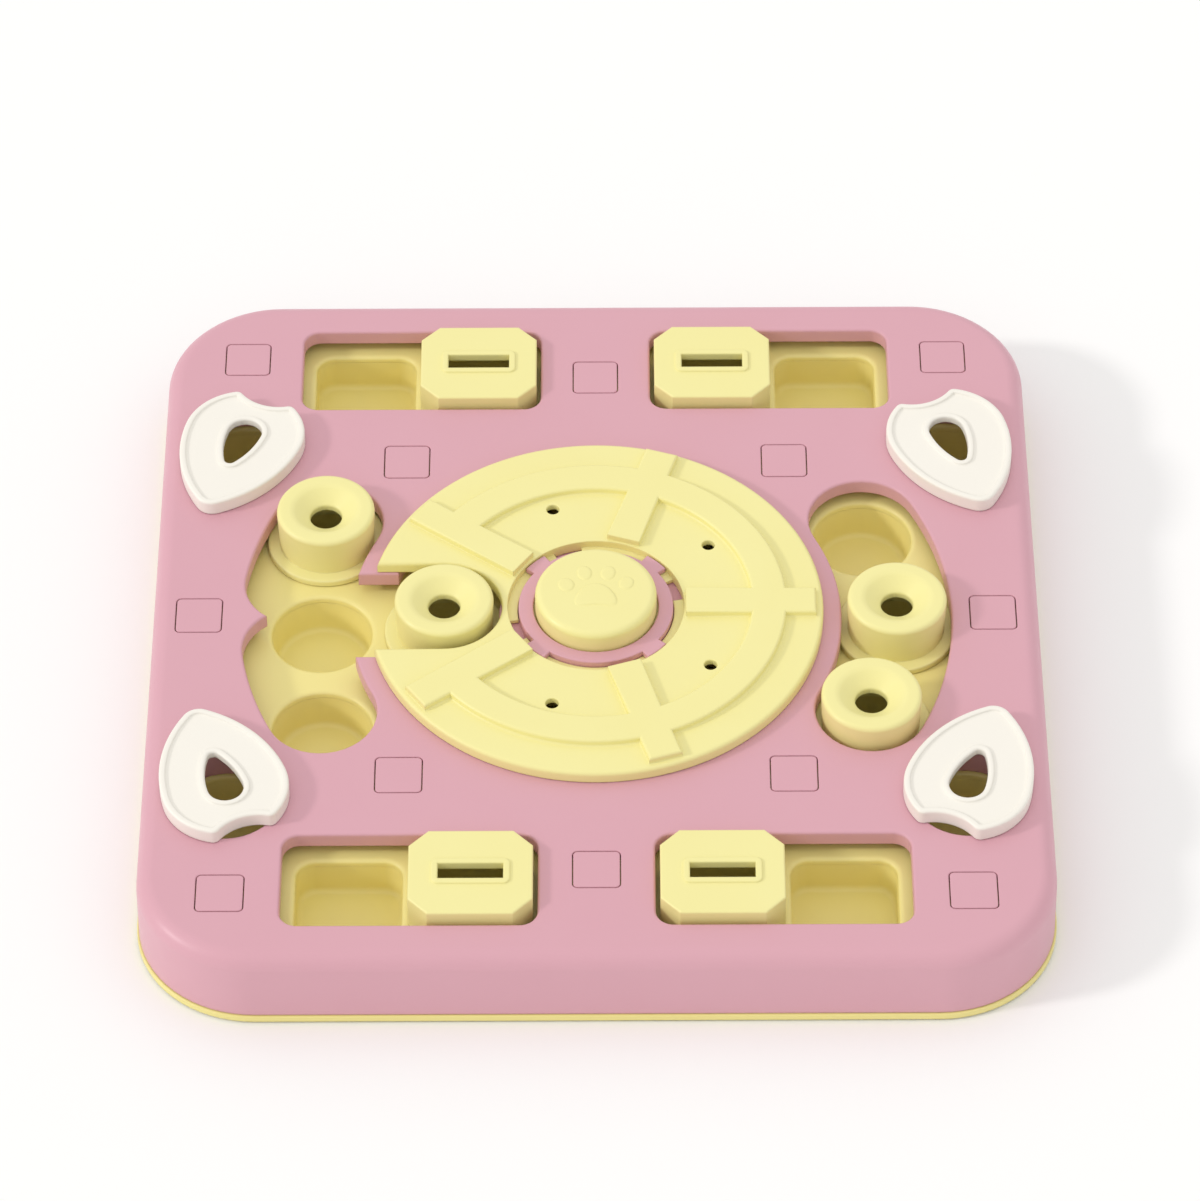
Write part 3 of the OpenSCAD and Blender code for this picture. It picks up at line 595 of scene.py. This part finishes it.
def disc_edge(place):
    out = from_axis(place)
    if out < bore_reach:
        return bore_edge
    if out > rim_reach:
        return rim_round
    if out > spoke_tip_reach and place.z < under_ribs:
        return spoke_foot_edge
    turned_by = math.degrees(math.atan2(place.y, place.x)) % between_spokes
    off = math.radians(min(abs(turned_by - between_spokes / 2), between_spokes / 2)) * out
    if math.hypot(out - scent_hole_at, off) < scent_hole_reach:
        return scent_hole_edge
    return disc_edge_round


moulding("turning_disc", "disc", pale_yellow, "yellow_plastic",
         [(rib_top, disc_edge), (disc_face, disc_edge)])

# The button is a hollow yellow cap in the middle of the hub, held down by its flange. A plunger
# inside it presses on the bellows.
button_r = 0.0193
button_edge = 0.0022
button_flange_r = 0.0219
button_flange_t = 0.0023
button_flange_edge = 0.0004
button_wall = 0.002
plunger_r = 0.007
plunger_lift = 0.0003
paw_height = 0.0003
low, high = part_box("squeaker_button")
button_low = low[2]
flange_top = button_low + button_flange_t
cap_top = high[2] - paw_height
cap = turned([(0, button_low + plunger_lift), (plunger_r, button_low + plunger_lift),
              (plunger_r, cap_top - button_wall), (button_r - button_wall, cap_top - button_wall),
              (button_r - button_wall, button_low), (button_flange_r, button_low),
              (button_flange_r, flange_top), (button_r, flange_top), (button_r, cap_top),
              (0, cap_top)], steps=128)
round_ring(cap, button_r, cap_top, button_edge, segments=8)
round_ring(cap, button_flange_r, flange_top, button_flange_edge, segments=3)
finished(cap, "button_cap", "button", pale_yellow, "yellow_plastic", "squeaker_button")

# The paw is a low relief on the cap, moulded with it: four toes and a palm with two lobes. Each
# pad has its place to the right and to the back, half its width, half its depth and its lean.
toes = [(-0.0094, 0.0026, 0.0032, 0.0037, 20), (0.0097, 0.0032, 0.003, 0.0036, -20),
        (-0.0036, 0.0077, 0.003, 0.004, 8), (0.0039, 0.0076, 0.003, 0.004, -8)]
palm = (0, -0.002, 0.0074, 0.0057, 0)
palm_lobe_drop = 0.0034
palm_arch_rise = 0.0012
pad_foot = 0.0003
pad_slope = 0.0012
paw = bmesh.new()
for x, y, half_w, half_d, lean in toes + [palm]:
    pad = bmesh.ops.create_uvsphere(paw, u_segments=48, v_segments=24, radius=1)["verts"]
    for v in pad:
        if v.co.z > 0:
            inside_edge = (1 - from_axis(v.co)) * half_w
            rise = math.sin(math.pi / 2 * min(1, inside_edge / pad_slope)) ** 2
            v.co.z = (1 + pad_foot / paw_height) * rise
        if x == palm[0]:
            arch = palm_arch_rise / half_d * (1 - v.co.x ** 2) * max(0, -v.co.y)
            v.co.y += arch - palm_lobe_drop / half_d * v.co.x ** 2
    bmesh.ops.scale(paw, verts=pad, vec=(half_w, half_d, paw_height))
    bmesh.ops.rotate(paw, verts=pad, cent=(0, 0, 0), matrix=Matrix.Rotation(math.radians(lean), 3, "Z"))
    bmesh.ops.translate(paw, verts=pad, vec=(x, y, cap_top - pad_foot))
finished(paw, "button_paw", "button", pale_yellow, "yellow_plastic")

# The bellows is a bottle of grey rubber with three folds that stands between the hub's floor and
# the button. A press on the button squashes it and blows its air out through its mouth.
bellows_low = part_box("squeaker_bellows")[0][2]
bellows_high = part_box("squeaker_bellows")[1][2]
bellows_r = 0.014
neck_r = 0.78 * bellows_r
bellows_mouth_r = 0.0051
folds = 3
fold_h = (bellows_high - bellows_low) / folds
fold_round = 0.0007
skin = 0.0014
skin_slant = 1.2
outside = [(bellows_r if i % 2 else neck_r, bellows_low + fold_h * i / 2) for i in range(2 * folds + 1)]
inside = [(radius - skin * skin_slant, min(max(z, bellows_low + skin), bellows_high - skin))
          for radius, z in outside]
bellows = turned([(bellows_mouth_r, bellows_low)] + outside
                 + [(0, bellows_high), (0, bellows_high - skin)]
                 + inside[::-1] + [(bellows_mouth_r, bellows_low + skin)])
for radius, z in outside[1:-1]:
    round_ring(bellows, radius, z, fold_round, segments=4)
bellows_piece = finished(bellows, "bellows", "base", foot_rubber, "foot_rubber", "squeaker_bellows")
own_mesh(bellows_piece)

# The reed is a small white plastic insert in the mouth of the bellows, turned here with a blind
# bore from above. It squeaks when air is blown through it.
white_reed = plastic("white_reed", pigment=(0.9, 0.9, 0.88), deep=(0.85, 0.85, 0.8),
                     change=0.4, roughness=(0.4, 0.5), grain=0.2)
reed_r = 0.005
reed_h = 0.0032
reed_edge = 0.0004
reed_top = bellows_low + reed_h
reed_bore_floor = bellows_low + reed_h / 3
reed = turned([(0, bellows_low), (reed_r, bellows_low), (reed_r, reed_top), (reed_r / 3, reed_top),
               (reed_r / 3, reed_bore_floor), (0, reed_bore_floor)], steps=48)
round_ring(reed, reed_r, reed_top, reed_edge, segments=3)
finished(reed, "reed", "base", white_reed, "white_plastic", "squeaker_reed")

# Four round pucks: hollow yellow caps with a funnel and a scent hole, over a broad flange that
# slides between the deck and the cover.
puck_r = 0.0158
puck_edge = 0.0016
puck_taper = 0.0005
puck_wall = 0.002
puck_flange_r = 0.0192
puck_flange_t = 0.0021
puck_flange_edge = 0.0006
funnel_r = 0.0107
funnel_edge = 0.0012
funnel_depth = 0.0039
hole_r = 0.0051
hole_edge = 0.0005
crown_drop = 0.0026
foot_of_puck_r = puck_r - puck_taper
hollow_r = foot_of_puck_r - puck_wall
for name in ("puck_top_left", "puck_in_disc", "puck_right", "puck_bottom_right"):
    low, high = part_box(name)
    flange_low = low[2]
    flange_top = flange_low + puck_flange_t
    puck_top = high[2]
    hole_top = puck_top - funnel_depth
    hole_low = hole_top - puck_wall
    puck = turned([(hollow_r, flange_low), (puck_flange_r, flange_low), (puck_flange_r, flange_top),
                   (foot_of_puck_r, flange_top), (puck_r, puck_top), (funnel_r, puck_top),
                   (hole_r + funnel_depth / 3, puck_top - funnel_depth * 3 / 4), (hole_r, hole_top),
                   (hole_r, hole_low), (hole_r + puck_wall, hole_low),
                   (funnel_r + puck_wall / 3, puck_top - crown_drop), (hollow_r, puck_top - crown_drop)])
    round_ring(puck, puck_r, puck_top, puck_edge, segments=7)
    round_ring(puck, funnel_r, puck_top, funnel_edge, segments=6)
    round_ring(puck, hole_r, hole_top, hole_edge, segments=3)
    round_ring(puck, puck_flange_r, flange_top, puck_flange_edge, segments=4)
    place = middle(name)
    bmesh.ops.translate(puck, verts=puck.verts, vec=(place.x, place.y, 0))
    finished(puck, name + "_cap", name, pale_yellow, "yellow_plastic", name)

# Four box sliders: hollow yellow blocks with cut corners and a framed scent slot. Each is moulded
# with a runner along both sides, which slides between the deck and the cover.
board_corners = ("back_left", "back_right", "front_left", "front_right")
block_top = 0.0315
block_edge = 0.0006
frame_top = 0.0322
frame_edge = 0.0005
for corner in board_corners:
    moulding("slider_" + corner, "slider_" + corner, pale_yellow, "yellow_plastic",
             [(frame_top, frame_edge), (block_top, block_edge)])

# Four white swivel lids, dished leaves with a hole and a bite, each held by a screw that is
# driven into its post from below.
white_plastic = plastic("white_plastic", pigment=(0.9, 0.865, 0.79), deep=(0.885, 0.845, 0.76),
                        change=0.5, roughness=(0.36, 0.46), grain=0.25)
lid_top = 0.0333
lid_edge = 0.0008
dish_floor = 0.0325
dish_round = 0.0011
lid_screw_head_r = 0.0048
lid_screw_head_t = 0.0016
for corner in board_corners:
    moulding("lid_" + corner, "lid_" + corner, white_plastic, "white_plastic",
             [(dish_floor, dish_round), (lid_top, lid_edge)])
    place = middle("lid_screw_" + corner)
    screws([(place.x, place.y)], lid_screw_head_r, lid_screw_head_t,
           "pivot_screw_" + corner, "lid_" + corner, "lid_screw_" + corner)
